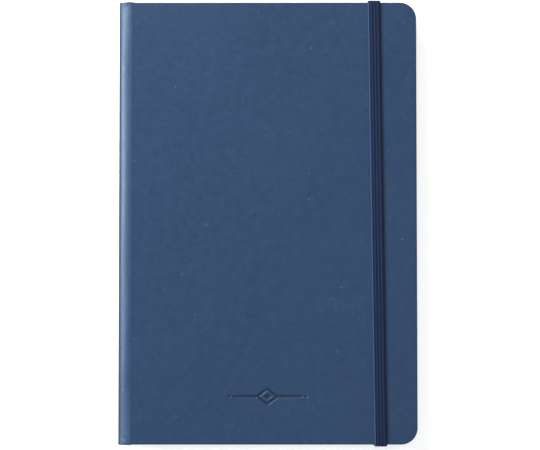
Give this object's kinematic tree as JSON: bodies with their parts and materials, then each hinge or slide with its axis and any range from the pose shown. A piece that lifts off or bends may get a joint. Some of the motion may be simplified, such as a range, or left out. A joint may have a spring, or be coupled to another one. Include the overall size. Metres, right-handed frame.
{
  "type": "pilot logbook",
  "caption": "Hardcover logbook with sewn paper sections, a blue leatherette case with rounded fore-edge corners, opening covers and an elastic band that holds it shut.",
  "frame": {"origin": "under the middle of the closed book, elastic included, on the surface that its rear cover lies on", "axes": "+X from the spine to the fore-edge, +Y from the tail to the head, +Z out of the front cover"},
  "size_m": [0.1436, 0.215, 0.017],
  "materials": {
    "leatherette": "fine-grained satin",
    "board": "matt grey board",
    "endpaper": "matt cream",
    "page_paper": "matt cream",
    "thread": "waxed linen",
    "mull": "open-weave cotton",
    "liner_paper": "matt kraft",
    "endband": "striped silk",
    "elastic": "ribbed woven elastic"
  },
  "bodies": {
    "text_block_rear": {"section_07": "page_paper", "section_08": "page_paper", "section_09": "page_paper", "section_10": "page_paper", "section_11": "page_paper", "section_12": "page_paper", "rear_flyleaf": "endpaper", "sewing_thread": "thread", "spine_mull": "mull", "spine_liner": "liner_paper", "head_band": "endband", "tail_band": "endband", "rear_endpaper_hinge": "endpaper", "rear_joint_leatherette": "leatherette"},
    "text_block_front": {"section_01": "page_paper", "section_02": "page_paper", "section_03": "page_paper", "section_04": "page_paper", "section_05": "page_paper", "section_06": "page_paper", "front_flyleaf": "endpaper", "front_endpaper_hinge": "endpaper", "front_joint_leatherette": "leatherette"},
    "rear_cover": {"rear_cover_board": "board", "rear_cover_leatherette": "leatherette", "rear_pastedown": "endpaper", "elastic_rear_head": "elastic", "elastic_rear_tail": "elastic"},
    "front_cover": {"front_cover_board": "board", "front_cover_leatherette": "leatherette", "front_pastedown": "endpaper"},
    "spine_panel": {"spine_inlay": "board", "spine_leatherette": "leatherette"},
    "elastic_sides": {"elastic_head_run": "elastic", "elastic_tail_run": "elastic"},
    "elastic_front": {"elastic_front_run": "elastic"}
  },
  "joints": [
    {"name": "rear_cover_hinge", "type": "hinge", "parent": "text_block_rear", "child": "rear_cover", "pos_m": [-0.06625, 0, 0.00147], "axis": [0, -1, 0], "range_deg": [-179.9, 0], "deforming": ["rear_joint_leatherette", "rear_endpaper_hinge"]},
    {"name": "book_opening", "type": "hinge", "parent": "text_block_rear", "child": "text_block_front", "pos_m": [-0.07045, 0, 0.008], "axis": [0, -1, 0], "range_deg": [0, 179.9], "deforming": ["spine_mull", "spine_liner", "head_band", "tail_band", "sewing_thread"]},
    {"name": "front_cover_hinge", "type": "hinge", "parent": "text_block_front", "child": "front_cover", "pos_m": [-0.06625, 0, 0.01452], "axis": [0, 1, 0], "range_deg": [-179.9, 0], "deforming": ["front_joint_leatherette", "front_endpaper_hinge"]},
    {"name": "spine_panel_tilt", "type": "hinge", "parent": "text_block_rear", "child": "spine_panel", "pos_m": [-0.0671, 0, 0.00465], "axis": [0, -1, 0], "range_deg": [0, 90]},
    {"name": "elastic_pull", "type": "slide", "parent": "rear_cover", "child": "elastic_sides", "axis": [1, 0, 0], "range_m": [0, 0.03], "stiffness_N_per_m": 5},
    {"name": "elastic_lift", "type": "slide", "parent": "elastic_sides", "child": "elastic_front", "axis": [0, 0, 1], "range_m": [0, 0.012], "stiffness_N_per_m": 5}
  ],
  "couplings": [
    {"joint": "spine_panel_tilt", "follows": "book_opening", "ratio": 0.5}
  ]
}
